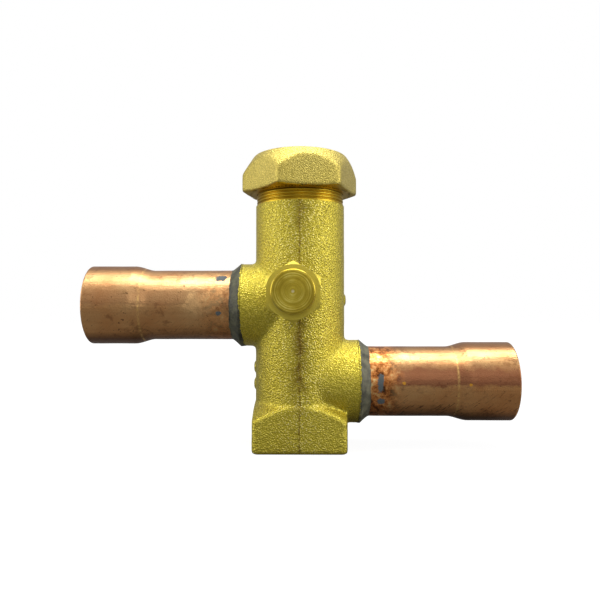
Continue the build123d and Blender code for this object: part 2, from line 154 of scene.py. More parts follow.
def calc(tree, operation, a, b=0.0, clamp=False):
    """A Math node's output."""
    return add(tree, "Math", {"operation": operation, "use_clamp": clamp}, _0=a, _1=b).outputs[0]


def blend_colour(tree, fac, a, b, how="MIX"):
    """A Mix node's colour output."""
    node = tree.nodes.new("ShaderNodeMix")
    node.data_type = "RGBA"
    node.blend_type = how
    for socket, value in ((node.inputs[0], fac), (node.inputs[6], a), (node.inputs[7], b)):
        if isinstance(value, bpy.types.NodeSocket):
            tree.links.new(value, socket)
        else:
            socket.default_value = value
    return node.outputs[2]


def ramp(tree, fac, *stops):
    """A colour ramp over (position, grey or colour) stops."""
    node = add(tree, "ValToRGB", Fac=fac)
    items = node.color_ramp.elements
    while len(items) < len(stops):
        items.new(0.5)
    for item, (place, value) in zip(items, stops):
        item.position = place
        item.color = (value, value, value, 1) if isinstance(value, (int, float)) else value
    return node.outputs["Color"]


def srgb(r, g, b):
    """A colour written as 0 to 255 display values, as the linear numbers that nodes use."""
    def lin(v):
        v /= 255.0
        return v / 12.92 if v <= 0.04045 else ((v + 0.055) / 1.055) ** 2.4
    return (lin(r), lin(g), lin(b), 1.0)


def fade(tree, value, start=0.0, end=1.0, low=0.0, high=1.0):
    """A Map Range output: goes from low to high while value goes from start to end, and stays there."""
    node = add(tree, "MapRange", Value=value, From_Min=start, From_Max=end, To_Min=low, To_Max=high)
    return node.outputs["Result"]


def noise_at(tree, place, scale, detail, roughness=0.5):
    """A cloudy mask, with scale patches to the metre."""
    return add(tree, "TexNoise", Vector=place, Scale=scale, Detail=detail,
               Roughness=roughness).outputs["Fac"]


def vector(tree, operation, a, b):
    """A Vector Math node's vector."""
    return add(tree, "VectorMath", {"operation": operation}, _0=a, _1=b).outputs[0]


def length(tree, a):
    """How long a vector is."""
    return add(tree, "VectorMath", {"operation": "LENGTH"}, _0=a).outputs["Value"]


print("node helpers: add, calc, blend_colour, ramp, srgb, fade, noise_at, vector, length")

# %% [markdown]
# ## Groups and materials
# A group is a small recipe with named inputs and outputs that several materials share. Copying the nodes
# into each material would do the same, but then a change has to be made in every copy.

# %% Helpers for groups and materials
def new_group(name, ins, outs):
    """An empty shader node group with named sockets, and its input and output nodes."""
    group = bpy.data.node_groups.new(name, "ShaderNodeTree")
    kinds = {"f": "NodeSocketFloat", "c": "NodeSocketColor", "v": "NodeSocketVector"}
    for key, kind, value in ins:
        socket = group.interface.new_socket(name=key, in_out="INPUT", socket_type=kinds[kind])
        if value is not None:
            socket.default_value = value
    for key, kind in outs:
        group.interface.new_socket(name=key, in_out="OUTPUT", socket_type=kinds[kind])
    return group, group.nodes.new("NodeGroupInput"), group.nodes.new("NodeGroupOutput")


def use_group(tree, group, **inputs):
    """Places a group in a material with its own values."""
    node = tree.nodes.new("ShaderNodeGroup")
    node.node_tree = group
    for key, value in inputs.items():
        socket = node.inputs[key.replace("_", " ")]
        if isinstance(value, bpy.types.NodeSocket):
            tree.links.new(value, socket)
        else:
            socket.default_value = value
    return node


def new_material(name):
    """A material with only its Principled shader and output, and the object's own coordinates."""
    material = bpy.data.materials.new(name)
    material.use_nodes = True
    tree = material.node_tree
    tree.nodes.clear()
    shader = add(tree, "BsdfPrincipled")
    add(tree, "OutputMaterial", Surface=shader.outputs[0])
    place = add(tree, "TexCoord").outputs["Object"]
    return material, tree, shader, place


def roughen(tree, shader, height, strength, distance):
    """Lets a height mask tilt the shader's normal, and gives that normal."""
    normal = add(tree, "Bump", Height=height, Strength=strength, Distance=distance).outputs[0]
    tree.links.new(normal, shader.inputs["Normal"])
    return normal


print("group and material helpers: new_group, use_group, new_material, roughen")

# %% [markdown]
# ## Surroundings
# What is not a lamp is a plain sky, dark below and grey above, and the metal mirrors it: that gives the
# round pieces their dark bands and lower edges. A picture of a studio would do it too, but it would have
# to be kept beside this lesson. The camera alone sees white where there is nothing. The metal doesn't see
# that white.

# %% Colour the surroundings
world = bpy.data.worlds.new("surroundings")
scene.world = world
world.use_nodes = True
tree = world.node_tree
tree.nodes.clear()
up = add(tree, "SeparateXYZ", _0=add(tree, "TexCoord").outputs["Generated"]).outputs["Z"]
greys = ramp(tree, fade(tree, up, -1.0), (0.42, 0.06), (0.5, 0.44), (0.72, 0.50), (1.0, 0.85))
around = add(tree, "Background", Color=greys)
white = add(tree, "Background", Color=(1, 1, 1, 1))
seen_by_camera = add(tree, "LightPath").outputs["Is Camera Ray"]
both = add(tree, "MixShader", Fac=seen_by_camera, _1=around.outputs[0], _2=white.outputs[0])
add(tree, "OutputWorld", Surface=both.outputs[0])
print("world:", world.name)

# %% [markdown]
# ## Shot-blasted grain
# A forging comes off the press scaled and is blasted with steel shot, which leaves small round dents side
# by side, about 0.4 mm wide. Two sizes of noise make that: a fine one for the dents and a coarse one for
# the forging's own unevenness. Real dents in the mesh would need millions of faces, so only the way the
# surface tilts is changed. It is a group, because the body and both caps share it.

# %% Build the grain group
grain_group, gi, go = new_group(
    "blast_grain",
    [("Place", "v", None), ("Grain per metre", "f", 1900.0), ("Unevenness", "f", 0.5)],
    [("Height", "f"), ("Speck", "f")],
)
stir = add(grain_group, "TexNoise", Vector=gi.outputs["Place"], Scale=900.0, Detail=2.0).outputs["Color"]
stirred = add(grain_group, "VectorMath", {"operation": "MULTIPLY_ADD"}, _0=stir,
              _1=(0.0006, 0.0006, 0.0006), _2=gi.outputs["Place"]).outputs[0]
cells = add(grain_group, "TexVoronoi", {"feature": "SMOOTH_F1"}, Vector=stirred,
            Scale=gi.outputs["Grain per metre"], Smoothness=0.35)
dents = add(grain_group, "TexNoise", Vector=gi.outputs["Place"], Scale=gi.outputs["Grain per metre"],
            Detail=2.0, Roughness=0.5)
uneven = add(grain_group, "TexNoise", Vector=gi.outputs["Place"], Scale=520.0, Detail=2.0)
pebble = calc(grain_group, "MULTIPLY", cells.outputs["Distance"], -1.0)
fine = calc(grain_group, "ADD", pebble, calc(grain_group, "MULTIPLY", dents.outputs["Fac"], 1.1))
coarse = calc(grain_group, "MULTIPLY", uneven.outputs["Fac"], gi.outputs["Unevenness"])
grain_group.links.new(calc(grain_group, "ADD", fine, coarse), go.inputs["Height"])
grain_group.links.new(fade(grain_group, fine, -0.05, 0.42), go.inputs["Speck"])
print("group:", grain_group.name, [item.name for item in grain_group.interface.items_tree])

# %% [markdown]
# ## Drifting tone
# No metal is one colour all over. Oils, heat and handling make it drift by a few shades across some
# millimetres. One flat colour would look like paint. A cloudy mask between a light and a dark tone is
# enough, and every material here uses it with its own two colours.

# %% Build the drift group
drift_group, di, do = new_group(
    "tone_drift",
    [("Place", "v", None), ("Light", "c", (1, 1, 1, 1)), ("Dark", "c", (0, 0, 0, 1)),
     ("Patches per metre", "f", 60.0), ("Contrast", "f", 1.0)],
    [("Colour", "c"), ("Mask", "f")],
)
patch = add(drift_group, "TexNoise", Vector=di.outputs["Place"], Scale=di.outputs["Patches per metre"],
            Detail=5.0, Roughness=0.6)
centred = calc(drift_group, "SUBTRACT", patch.outputs["Fac"], 0.5)
spread = calc(drift_group, "MULTIPLY", centred, di.outputs["Contrast"])
mask = calc(drift_group, "ADD", spread, 0.5, True)
drift_group.links.new(blend_colour(drift_group, mask, di.outputs["Dark"], di.outputs["Light"]),
                      do.inputs["Colour"])
drift_group.links.new(mask, do.inputs["Mask"])
print("group:", drift_group.name, [item.name for item in drift_group.interface.items_tree])

# %% [markdown]
# ## Forged brass
# The body is a dull lemon to olive yellow. Its dents catch the light one by one, so the colour has
# painted highlights on the specks and painted shade in the hollows. Down the front and the back runs
# the parting line, where the two halves of the die met: a thin brown line with a brown band beside it,
# stronger at some heights. The line could be a painted texture, but a mask over the distance from the
# die's plane follows the part at any size.

# %% Forged brass material
def forged_brass(name, light, dark, seam, depth, grains, sparks):
    """Blasted brass. seam is how strongly the parting line shows, sparks how white the painted glints
    are.
    """
    material, tree, shader, place = new_material(name)
    grain = use_group(tree, grain_group, Place=place, Grain_per_metre=grains)
    tone = use_group(tree, drift_group, Place=place, Light=light, Dark=dark, Patches_per_metre=55.0,
                     Contrast=1.1)
    # painted shade: the colour is darker in the grain's hollows
    hollow = ramp(tree, grain.outputs["Speck"], (0.05, 0.72), (0.60, 1.0))
    speck = blend_colour(tree, 1.0, tone.outputs["Colour"], hollow, "MULTIPLY")
    # how far a point is from the die's plane, which wanders a little
    split = add(tree, "SeparateXYZ", _0=place)
    wander = noise_at(tree, place, 160.0, 3.0)
    off = calc(tree, "ABSOLUTE", calc(tree, "ADD", split.outputs["X"],
                                      calc(tree, "MULTIPLY", calc(tree, "SUBTRACT", wander, 0.5),
                                           0.0016)))
    # the thin line itself, broken here and there
    line = fade(tree, off, 0.0001, 0.0005, 1.0, 0.0)
    broken = noise_at(tree, place, 700.0, 3.0)
    line = calc(tree, "MULTIPLY", line, ramp(tree, broken, (0.36, 0.3), (0.54, 1.0)))
    # a brown band beside it, stronger at some heights
    halo = fade(tree, off, 0.0, 0.0046, 1.0, 0.0)
    smear = noise_at(tree, place, 260.0, 4.0)
    halo = calc(tree, "MULTIPLY", calc(tree, "MULTIPLY", halo, halo),
                ramp(tree, smear, (0.38, 0.0), (0.58, 1.0)))
    high = fade(tree, split.outputs["Z"], 0.0, 0.09)
    band_by_height = ramp(tree, high, (0.12, 0.1), (0.20, 1.0), (0.42, 0.9), (0.52, 0.2), (0.72, 0.15),
                   (0.84, 1.0))
    halo = calc(tree, "MULTIPLY", halo, calc(tree, "MULTIPLY", band_by_height, 0.95))
    # painted highlights: pale glints on the grain, most of them near the die's plane
    flank = fade(tree, off, 0.001, 0.010, 1.0, 0.25)
    painted_glint = calc(tree, "MULTIPLY", ramp(tree, grain.outputs["Speck"], (0.62, 0.0), (0.85, 1.0)), flank)
    speck = blend_colour(tree, calc(tree, "MULTIPLY", painted_glint, sparks), speck, srgb(252, 244, 196))
    marks = calc(tree, "MULTIPLY", calc(tree, "MAXIMUM", calc(tree, "MULTIPLY", line, 0.75), halo), seam)
    colour = blend_colour(tree, marks, speck, srgb(112, 84, 24))
    tree.links.new(colour, shader.inputs["Base Color"])
    shader.inputs["Metallic"].default_value = 1.0
    shader.inputs["Coat Weight"].default_value = 0.2
    shader.inputs["Coat Roughness"].default_value = 0.24
    rough = fade(tree, grain.outputs["Speck"], low=0.48, high=0.30)
    tree.links.new(rough, shader.inputs["Roughness"])
    normal = roughen(tree, shader, grain.outputs["Height"], 0.8, depth)
    tree.links.new(normal, shader.inputs["Coat Normal"])
    return material


body_brass = forged_brass("forged_brass", srgb(234, 218, 84), srgb(208, 186, 54), 1.0, 0.00021, 2200.0,
                          0.55)
cap_brass = forged_brass("cap_brass", srgb(234, 214, 114), srgb(212, 188, 82), 0.0, 0.00013, 3000.0, 0.15)
print("forged brass:", body_brass.name, cap_brass.name)

# %% [markdown]
# ## Turned brass
# A lathe leaves fine rings round the work's axis. The rings are a wave over the distance from that axis,
# so each turned piece names its axis: the stem's or the charging port's. Brushed metal shaders stretch a
# highlight instead, but on pieces this small the rings themselves are seen.

# %% Turned brass material
RINGS_PER_METRE = 1560.0


def ring_distance(tree, place, centre, axis):
    """Distance of the surface from a line through centre along axis 1 (Y) or 2 (Z)."""
    moved = vector(tree, "SUBTRACT", place, centre)
    flat = (1.0, 0.0, 1.0) if axis == 1 else (1.0, 1.0, 0.0)
    flat = vector(tree, "MULTIPLY", moved, flat)
    return length(tree, flat)


def turned_brass(name, light, dark, centre, axis, roughness=0.30):
    """Lathe-turned brass with rings round the line through centre."""
    material, tree, shader, place = new_material(name)
    tone = use_group(tree, drift_group, Place=place, Light=light, Dark=dark, Patches_per_metre=140.0,
                     Contrast=1.0)
    away = ring_distance(tree, place, centre, axis)
    split = add(tree, "SeparateXYZ", _0=place)
    along = split.outputs["Y"] if axis == 1 else split.outputs["Z"]
    both = add(tree, "CombineXYZ", X=away, Y=along).outputs[0]
    tool = noise_at(tree, both, RINGS_PER_METRE, 3.0, 0.7)
    tree.links.new(blend_colour(tree, calc(tree, "MULTIPLY", tool, 0.5), tone.outputs["Colour"], dark),
                   shader.inputs["Base Color"])
    shader.inputs["Metallic"].default_value = 1.0
    shader.inputs["Roughness"].default_value = roughness
    roughen(tree, shader, tool, 0.8, 0.00004)
    return material


stem_brass = turned_brass("turned_brass", srgb(222, 196, 90), srgb(182, 150, 52), (0, 0, 0), 2)
# the threads' copy is darker and more saturated than the stem's, which is painted shade from the large
# cap above
thread_brass_with_painted_shade = turned_brass("thread_brass_with_painted_shade", srgb(222, 194, 64), srgb(180, 144, 36), (0, 0, 0), 2,
                            roughness=0.36)
port_brass = turned_brass("port_nose", srgb(222, 200, 82), srgb(176, 152, 44), (PORT_X, 0, PORT_Z), 1)
print("turned brass:", stem_brass.name, thread_brass_with_painted_shade.name, port_brass.name)

# %% [markdown]
# ## The small cap's faces
# The round head of the charging port's cap was faced on a lathe: rings spread from a small pip left by
# the tool at the centre. The hexagon behind it was tumbled and is paler and duller. Two materials on
# sorted faces would do, but one material, parted by the distance from the port's axis, needs no sorting
# and leaves the CAD mesh alone.

# %% Small cap material
HEAD_R = 6.5 * MM
port_cap_brass, tree, shader, place = new_material("port_cap_brass")
away = ring_distance(tree, place, (PORT_X, 0, PORT_Z), 1)
hexagon = fade(tree, away, HEAD_R, HEAD_R + 0.1 * MM)
rings = add(tree, "TexNoise", {"noise_dimensions": "1D"}, W=calc(tree, "MULTIPLY", away, 1500.0),
            Scale=1.0, Detail=3.0, Roughness=0.75).outputs["Fac"]
smear = noise_at(tree, place, 330.0, 3.0)
tool = calc(tree, "ADD", rings, calc(tree, "MULTIPLY", calc(tree, "SUBTRACT", smear, 0.5), 0.5))
face_colour = ramp(tree, tool, (0.30, srgb(170, 144, 44)), (0.55, srgb(202, 178, 62)),
                   (0.72, srgb(236, 220, 112)))
pip = fade(tree, away, 0.25 * MM, 0.55 * MM, 1.0, 0.0)
face_colour = blend_colour(tree, calc(tree, "MULTIPLY", pip, 0.8), face_colour, srgb(250, 240, 190))
grain = use_group(tree, grain_group, Place=place)
tumbled = use_group(tree, drift_group, Place=place, Light=srgb(230, 214, 94), Dark=srgb(204, 180, 62),
                    Patches_per_metre=150.0, Contrast=1.2)
tree.links.new(blend_colour(tree, hexagon, face_colour, tumbled.outputs["Colour"]),
               shader.inputs["Base Color"])
shader.inputs["Metallic"].default_value = 1.0
tree.links.new(fade(tree, hexagon, low=0.3, high=0.4), shader.inputs["Roughness"])
height = calc(tree, "ADD", calc(tree, "MULTIPLY", tool, calc(tree, "SUBTRACT", 1.0, hexagon)),
              calc(tree, "MULTIPLY", calc(tree, "MULTIPLY", grain.outputs["Height"], 0.35), hexagon))
roughen(tree, shader, height, 0.8, 0.00006)
print("small cap material:", port_cap_brass.name)

# %% [markdown]
# ## Stains
# The tubes were brazed without gas inside, so the outside carries the marks of the flame: pink bright
# copper, brown oxide, a pale cleaned patch near the joint and a few specks of spelter. A picture wrapped
# round the tube could hold them all, but it would stretch with the tube. Each mark is one mask round a
# named place instead, and noise gives it a ragged edge.

# %% Mask of one stain
def blotch(tree, place, x, z, half_width, half_height):
    """Mask of one stain on the front, round (x, z) in millimetres, with a ragged edge."""
    moved = vector(tree, "SUBTRACT", place, (x * MM, 0, z * MM))
    scaled = vector(tree, "MULTIPLY", moved, (1 / (half_width * MM), 0, 1 / (half_height * MM)))
    rag = noise_at(tree, place, 520.0, 5.0, 0.7)
    away = calc(tree, "ADD", length(tree, scaled),
                calc(tree, "MULTIPLY", calc(tree, "SUBTRACT", rag, 0.5), 2.4))
    front = calc(tree, "LESS_THAN", add(tree, "SeparateXYZ", _0=place).outputs["Y"], 0.0)
    return calc(tree, "MULTIPLY", fade(tree, away, 0.85, 1.05, 1.0, 0.0), front)


print("a stain is a mask round a place, in millimetres")

# %% [markdown]
# ## Painted shade, oxide, pits and scratches
# Painted shade darkens the underside, the bottom edge and the very top of each tube, and a brown band
# between the bright crown and the middle is partly oxide, partly painted shade. On top of it lie
# patches, small pits and short scratches. Each is a helper that takes the colour so far and gives it
# back changed, as a painter lays thin coats.

# %% Coats of painted shade and wear
def shade_and_oxide_by_height(tree, colour, high, ragged, band):
    """Paints shade and oxide on the copper by its height over the tube's axis. Gives the colour and the
    underside's mask.
    """
    # painted shade: the underside is browned, with a ragged edge
    under = fade(tree, calc(tree, "ADD", high, ragged), 0.001, -0.0095)
    colour = blend_colour(tree, calc(tree, "MULTIPLY", under, 0.5), colour, srgb(206, 134, 74))
    # painted shade: a near-black bottom edge
    painted_dark_bottom = fade(tree, high, -0.0085, -0.0108)
    colour = blend_colour(tree, calc(tree, "MULTIPLY", painted_dark_bottom, 0.85), colour, srgb(84, 48, 22))
    # painted shade: a darker brown top edge
    painted_dark_top = fade(tree, high, 0.0095, 0.0112)
    colour = blend_colour(tree, calc(tree, "MULTIPLY", painted_dark_top, 0.75), colour, srgb(132, 86, 54))
    # a brown band above the middle, partly oxide and partly painted shade
    lower = fade(tree, calc(tree, "ADD", high, calc(tree, "MULTIPLY", ragged, 0.5)), -0.0008, 0.0002)
    upper = fade(tree, calc(tree, "ADD", high, ragged), 0.004, 0.007, 1.0, 0.0)
    brown = calc(tree, "MULTIPLY", calc(tree, "MULTIPLY", lower, upper), band)
    return blend_colour(tree, brown, colour, srgb(146, 92, 66)), under


def pits_and_scratches(tree, place, colour, mottle, pits, under, band):
    """Oxide patches, dark pits and short scratches that run askew along the lower side."""
    oxide = ramp(tree, mottle, (0.55, 0.0), (0.64, 1.0))
    colour = blend_colour(tree, calc(tree, "MULTIPLY", oxide, 0.5), colour, srgb(132, 80, 50))
    colour = blend_colour(tree, ramp(tree, pits, (0.66, 0.0), (0.72, 0.7)), colour, srgb(70, 44, 32))
    askew = add(tree, "VectorRotate", {"rotation_type": "Y_AXIS"}, Vector=place, Angle=0.7).outputs[0]
    askew = vector(tree, "MULTIPLY", askew, (300.0, 300.0, 2600.0))
    scratch = ramp(tree, noise_at(tree, askew, 1.0, 2.0), (0.60, 0.0), (0.68, 1.0))
    scratch = calc(tree, "MULTIPLY", calc(tree, "MULTIPLY", scratch, under), band)
    return blend_colour(tree, scratch, colour, srgb(96, 58, 38))


def heat_colours(tree, place, colour, along, ragged, band):
    """Straw, orange and brown beside the braze."""
    reach = calc(tree, "ADD", along, calc(tree, "MULTIPLY", ragged, 0.6))
    near = calc(tree, "MULTIPLY", fade(tree, reach, 0.027, 0.032, 1.0, 0.0),
                calc(tree, "MULTIPLY", band, 1.1), True)
    patchy = ramp(tree, noise_at(tree, place, 480.0, 6.0, 0.7), (0.38, srgb(74, 46, 28)),
                  (0.46, srgb(166, 96, 44)), (0.56, srgb(226, 150, 84)), (0.66, srgb(240, 206, 140)))
    return blend_colour(tree, near, colour, patchy)


def swage_line(tree, colour, along, pits, swage_x):
    """A broken bright line where the swage begins."""
    off = calc(tree, "ABSOLUTE", calc(tree, "SUBTRACT", along, swage_x))
    off = calc(tree, "ADD", off, calc(tree, "MULTIPLY", calc(tree, "SUBTRACT", pits, 0.5), 0.0012))
    line = fade(tree, off, 0.0001, 0.0005, 0.7, 0.0)
    line = calc(tree, "MULTIPLY", line, ramp(tree, pits, (0.44, 0.1), (0.54, 1.0)))
    return blend_colour(tree, line, colour, srgb(244, 200, 122))


print("coats: shade_and_oxide_by_height, pits_and_scratches, heat_colours, swage_line")

# %% [markdown]
# ## Drawn copper
# Drawing leaves faint lines along the tube, so its grain is noise stretched that way. The coats and the
# stains go on top. Where a stain lies the surface is duller, and burnt flux is no metal at all.

# %% Copper material
def copper(name, axis_z, band, swage_x, pale, burnt, gold):
    """Drawn copper. band is the strength of the brown band above the middle.

    pale, burnt and gold list stains as (x, z, half width, half height) in millimetres.
    """
    material, tree, shader, place = new_material(name)
    tone = use_group(tree, drift_group, Place=place, Light=srgb(240, 200, 140), Dark=srgb(202, 144, 90),
                     Patches_per_metre=62.0, Contrast=2.4)
    drawn = noise_at(tree, vector(tree, "MULTIPLY", place, (0.06, 1.0, 1.0)), 900.0, 3.0)
    mottle = noise_at(tree, place, 230.0, 6.0, 0.7)
    pits = noise_at(tree, place, 1100.0, 3.0)
    ragged = calc(tree, "MULTIPLY", calc(tree, "SUBTRACT", mottle, 0.5), 0.009)
    split = add(tree, "SeparateXYZ", _0=place)
    along = calc(tree, "ABSOLUTE", split.outputs["X"])
    high = calc(tree, "SUBTRACT", split.outputs["Z"], axis_z)
    colour = blend_colour(tree, calc(tree, "MULTIPLY", drawn, 0.35), tone.outputs["Colour"],
                          srgb(150, 90, 50))
    colour, under = shade_and_oxide_by_height(tree, colour, high, ragged, band)
    colour = pits_and_scratches(tree, place, colour, mottle, pits, under, band)
    dull = 0.0
    for x, z, wide, tall in pale:
        cleaned = ramp(tree, mottle, (0.36, 0.2), (0.5, 0.85))
        mask = calc(tree, "MULTIPLY", blotch(tree, place, x, z, wide, tall), cleaned)
        colour = blend_colour(tree, mask, colour, srgb(228, 184, 128))
        dull = calc(tree, "MAXIMUM", dull, mask)
    colour = heat_colours(tree, place, colour, along, ragged, band)
    for x, z, wide, tall in gold:
        colour = blend_colour(tree, blotch(tree, place, x, z, wide, tall), colour, srgb(236, 170, 66))
    metal = 1.0
    for x, z, wide, tall in burnt:
        mask = blotch(tree, place, x, z, wide, tall)
        colour = blend_colour(tree, mask, colour, srgb(84, 92, 94))
        dull = calc(tree, "MAXIMUM", dull, mask)
        metal = calc(tree, "SUBTRACT", metal, mask, True)
    colour = swage_line(tree, colour, along, pits, swage_x)
    tree.links.new(colour, shader.inputs["Base Color"])
    tree.links.new(metal, shader.inputs["Metallic"])
    rough = fade(tree, tone.outputs["Mask"], low=0.40, high=0.31)
    rough = calc(tree, "ADD", rough, calc(tree, "MULTIPLY", dull, 0.22), True)
    tree.links.new(rough, shader.inputs["Roughness"])
    sand = noise_at(tree, place, 2600.0, 2.0)
    roughen(tree, shader, calc(tree, "ADD", calc(tree, "ADD", drawn, mottle), sand), 0.9, 0.00008)
    return material


left_copper = copper("copper_left", LEFT_Z, 0.35, 0.0496,
                     pale=[(-30, 45.5, 6.0, 3.2), (-25.5, 48, 2.5, 3.0)],
                     burnt=[(-24.6, 53.2, 2.0, 0.9), (-25.1, 42.4, 0.8, 0.6)], gold=[])
right_copper = copper("copper_right", RIGHT_Z, 0.85, 0.0484, pale=[(27.5, 24.5, 2.4, 2.0)],
                      burnt=[(24.7, 21.0, 1.0, 2.8), (24.8, 15.4, 1.2, 0.9)],
                      gold=[(31.8, 21.1, 0.6, 0.55), (51.7, 20.8, 0.6, 0.55)])
print("copper:", left_copper.name, right_copper.name)

# %% [markdown]
# ## Burnt flux
# The braze itself is hidden under flux that the flame burnt to a dark grey glass. It is neither metal nor
# smooth, so it gets a plain dark shader with a drifting tone, glossy in places, over a crusty bump. A
# glass shader would be slower and show nothing more in so thin a crust. The lower joint's flux is paler
# than the upper one's.

# %% Flux material
def burnt_flux(name, light, dark):
    """A dull crust, glassy in places."""
    material, tree, shader, place = new_material(name)
    tone = use_group(tree, drift_group, Place=place, Light=light, Dark=dark, Patches_per_metre=360.0,
                     Contrast=2.6)
    tree.links.new(tone.outputs["Colour"], shader.inputs["Base Color"])
    gloss = fade(tree, tone.outputs["Mask"], low=0.42, high=0.68)
    tree.links.new(gloss, shader.inputs["Roughness"])
    roughen(tree, shader, noise_at(tree, place, 1400.0, 4.0), 0.7, 0.00015)
    return material


left_flux = burnt_flux("flux_left", srgb(104, 104, 80), srgb(20, 22, 17))
right_flux = burnt_flux("flux_right", srgb(124, 122, 98), srgb(46, 48, 40))
print("flux:", left_flux.name, right_flux.name)

# %% [markdown]
# ## Seals and spring steel
# The seals are black rubber and white plastic, the springs and the screw are steel. They sit inside and
# show only when the caps come off, so one simple recipe with its own colours does for all three.

# %% Seal and steel materials
def plain(name, light, dark, roughness, metallic):
    """A fine-grained material for the small inner pieces."""
    material, tree, shader, place = new_material(name)
    tone = use_group(tree, drift_group, Place=place, Light=light, Dark=dark, Patches_per_metre=260.0,
                     Contrast=1.2)
    tree.links.new(tone.outputs["Colour"], shader.inputs["Base Color"])
    shader.inputs["Roughness"].default_value = roughness
    shader.inputs["Metallic"].default_value = metallic
    roughen(tree, shader, noise_at(tree, place, 3000.0, 2.0), 0.3, 0.00003)
    return material


steel = plain("spring_steel", srgb(176, 176, 178), srgb(132, 132, 136), 0.3, 1.0)
rubber = plain("seal_rubber", srgb(34, 34, 36), srgb(22, 22, 24), 0.6, 0.0)
white_seal = plain("seal_plastic", srgb(232, 229, 220), srgb(214, 210, 198), 0.5, 0.0)
print("inner materials:", steel.name, rubber.name, white_seal.name)

# %% [markdown]
# ## Mesh helpers
# A skin is either a new mesh from points and faces, or a part cut out of a CAD mesh. A boolean could cut
# too, but it would make new faces, where keeping or dropping whole faces leaves the CAD's own surface
# untouched.

# %% Mesh helpers
def mesh_object(name, vertices, faces, material, body):
    """A new piece that rides on a CAD body."""
    mesh = bpy.data.meshes.new(name)
    mesh.from_pydata([tuple(map(float, v)) for v in vertices], [], faces)
    mesh.validate()
    mesh.shade_smooth()
    mesh.materials.append(material)
    piece = bpy.data.objects.new(name, mesh)
    scene.collection.objects.link(piece)
    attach(piece, body)
    return piece


def cut_from(source, name, keep, material, body, planes=()):
    """A copy of a CAD mesh, split along the planes, with only the faces whose middle passes the test."""
    build = bmesh.new()
    build.from_mesh(source.data)
    for point, normal in planes:
        whole = build.verts[:] + build.edges[:] + build.faces[:]
        bmesh.ops.bisect_plane(build, geom=whole, plane_co=point, plane_no=normal)
    build.faces.ensure_lookup_table()
    gone = [f for f in build.faces if not keep(f.calc_center_median())]
    bmesh.ops.delete(build, geom=gone, context="FACES")
    mesh = bpy.data.meshes.new(name)
    build.to_mesh(mesh)
    build.free()
    mesh.materials.clear()
    mesh.materials.append(material)
    piece = bpy.data.objects.new(name, mesh)
    scene.collection.objects.link(piece)
    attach(piece, body)
    return piece


def grid_faces(rows, columns):
    """Faces of a grid of points wrapped round an axis, row by row; the last column joins the first."""
    return [(r * columns + c, r * columns + (c + 1) % columns, (r + 1) * columns + (c + 1) % columns,
             (r + 1) * columns + c) for r in range(rows - 1) for c in range(columns)]


print("mesh helpers: mesh_object, cut_from, grid_faces")

# %% [markdown]
# ## The forging's skin
# A forged body has no sharp inner corners: the metal flowed round them in the die. The CAD solid has
# small fillets where the stubs leave the barrel. Here the solid is rebuilt as an even mesh of small
# squares, which can be smoothed and pushed about at any place. A subdivision surface could not do that,
# because the CAD's long triangles would pull it out of shape.

# %% Rebuild the forging
def even_mesh(source, voxel):
    """The source's shape as an even mesh: its points, its faces and the mesh itself."""
    copy = source.copy()
    copy.data = source.data.copy()
    copy.parent = None
    scene.collection.objects.link(copy)
    build = bmesh.new()
    build.from_mesh(copy.data)
    bmesh.ops.remove_doubles(build, verts=build.verts, dist=1e-6)
    build.to_mesh(copy.data)
    build.free()
    remesh = copy.modifiers.new("even", "REMESH")
    remesh.mode = "VOXEL"
    remesh.voxel_size = voxel
    bpy.context.view_layer.update()
    made = bpy.data.meshes.new_from_object(copy.evaluated_get(bpy.context.evaluated_depsgraph_get()))
    bpy.data.objects.remove(copy)
    points = np.empty(len(made.vertices) * 3)
    made.vertices.foreach_get("co", points)
    faces = [tuple(p.vertices) for p in made.polygons]
    return points.reshape(-1, 3), faces, made


VOXEL = 0.46 * MM
points, faces, made = even_mesh(nodes["valve_body"], VOXEL)
print("even mesh:", len(points), "points,", len(faces), "faces")

# %% [markdown]
# ## Soft roots and a blasted surface
# The roots are smoothed until they are as soft as on the real piece: each point there moves towards the
# middle of its neighbours. The sculpt tools would do it by hand, but not twice the same way. Then the
# whole outside is pushed in and out by a few hundredths of a millimetre, and a low ridge is raised where
# the halves of the die met.

# %% Helpers for smoothing
def edge_pairs(mesh):
    """The two ends of every edge, as an array."""
    pairs = np.empty(len(mesh.edges) * 2, dtype=int)
    mesh.edges.foreach_get("vertices", pairs)
    return pairs.reshape(-1, 2)


def relax(p, pairs, weight, rounds):
    """Moves each point towards the middle of its neighbours, by its weight, some rounds long."""
    count = np.bincount(pairs.ravel(), minlength=len(p))[:, None]
    for _ in range(rounds):
        total = np.zeros_like(p)
        np.add.at(total, pairs[:, 0], p[pairs[:, 1]])
        np.add.at(total, pairs[:, 1], p[pairs[:, 0]])
        p = p + weight[:, None] * (total / count - p)
    return p


def point_normals(mesh, p):
    """Moves the mesh's points to p and gives their normals."""
    mesh.vertices.foreach_set("co", p.ravel())
    mesh.update()
    out = np.empty(len(p) * 3)
    mesh.vertices.foreach_get("normal", out)
    return out.reshape(-1, 3)


edges = edge_pairs(made)
print("edges to smooth along:", len(edges))

# %% Smooth the roots and roughen the skin
SEAM_WIDTH = 0.32 * MM
SEAM_HEIGHT = 0.14 * MM
INSIDE_R = 13.0 * MM
ROOT_REACH = 1.3 * MM
ROOT_ROUNDS, SKIN_ROUNDS = 8, 2
FOOT = 1.5 * MM


def near_root(p, height, side):
    """1 on the crease between a stub and the barrel, falling to 0 about 2 mm away."""
    from_axis = np.hypot(p[:, 0], p[:, 1])
    from_barrel = np.abs(from_axis - BARREL_R)
    from_stub = np.abs(np.hypot(p[:, 1], p[:, 2] - height) - STUB_R)
    reach = p[:, 0] * side
    outside = (reach > 2 * MM) & (from_axis > INSIDE_R) & (reach < STUB_END - 1.5 * MM)
    return np.clip(1.6 - np.hypot(from_barrel, from_stub) / ROOT_REACH, 0, 1) * outside


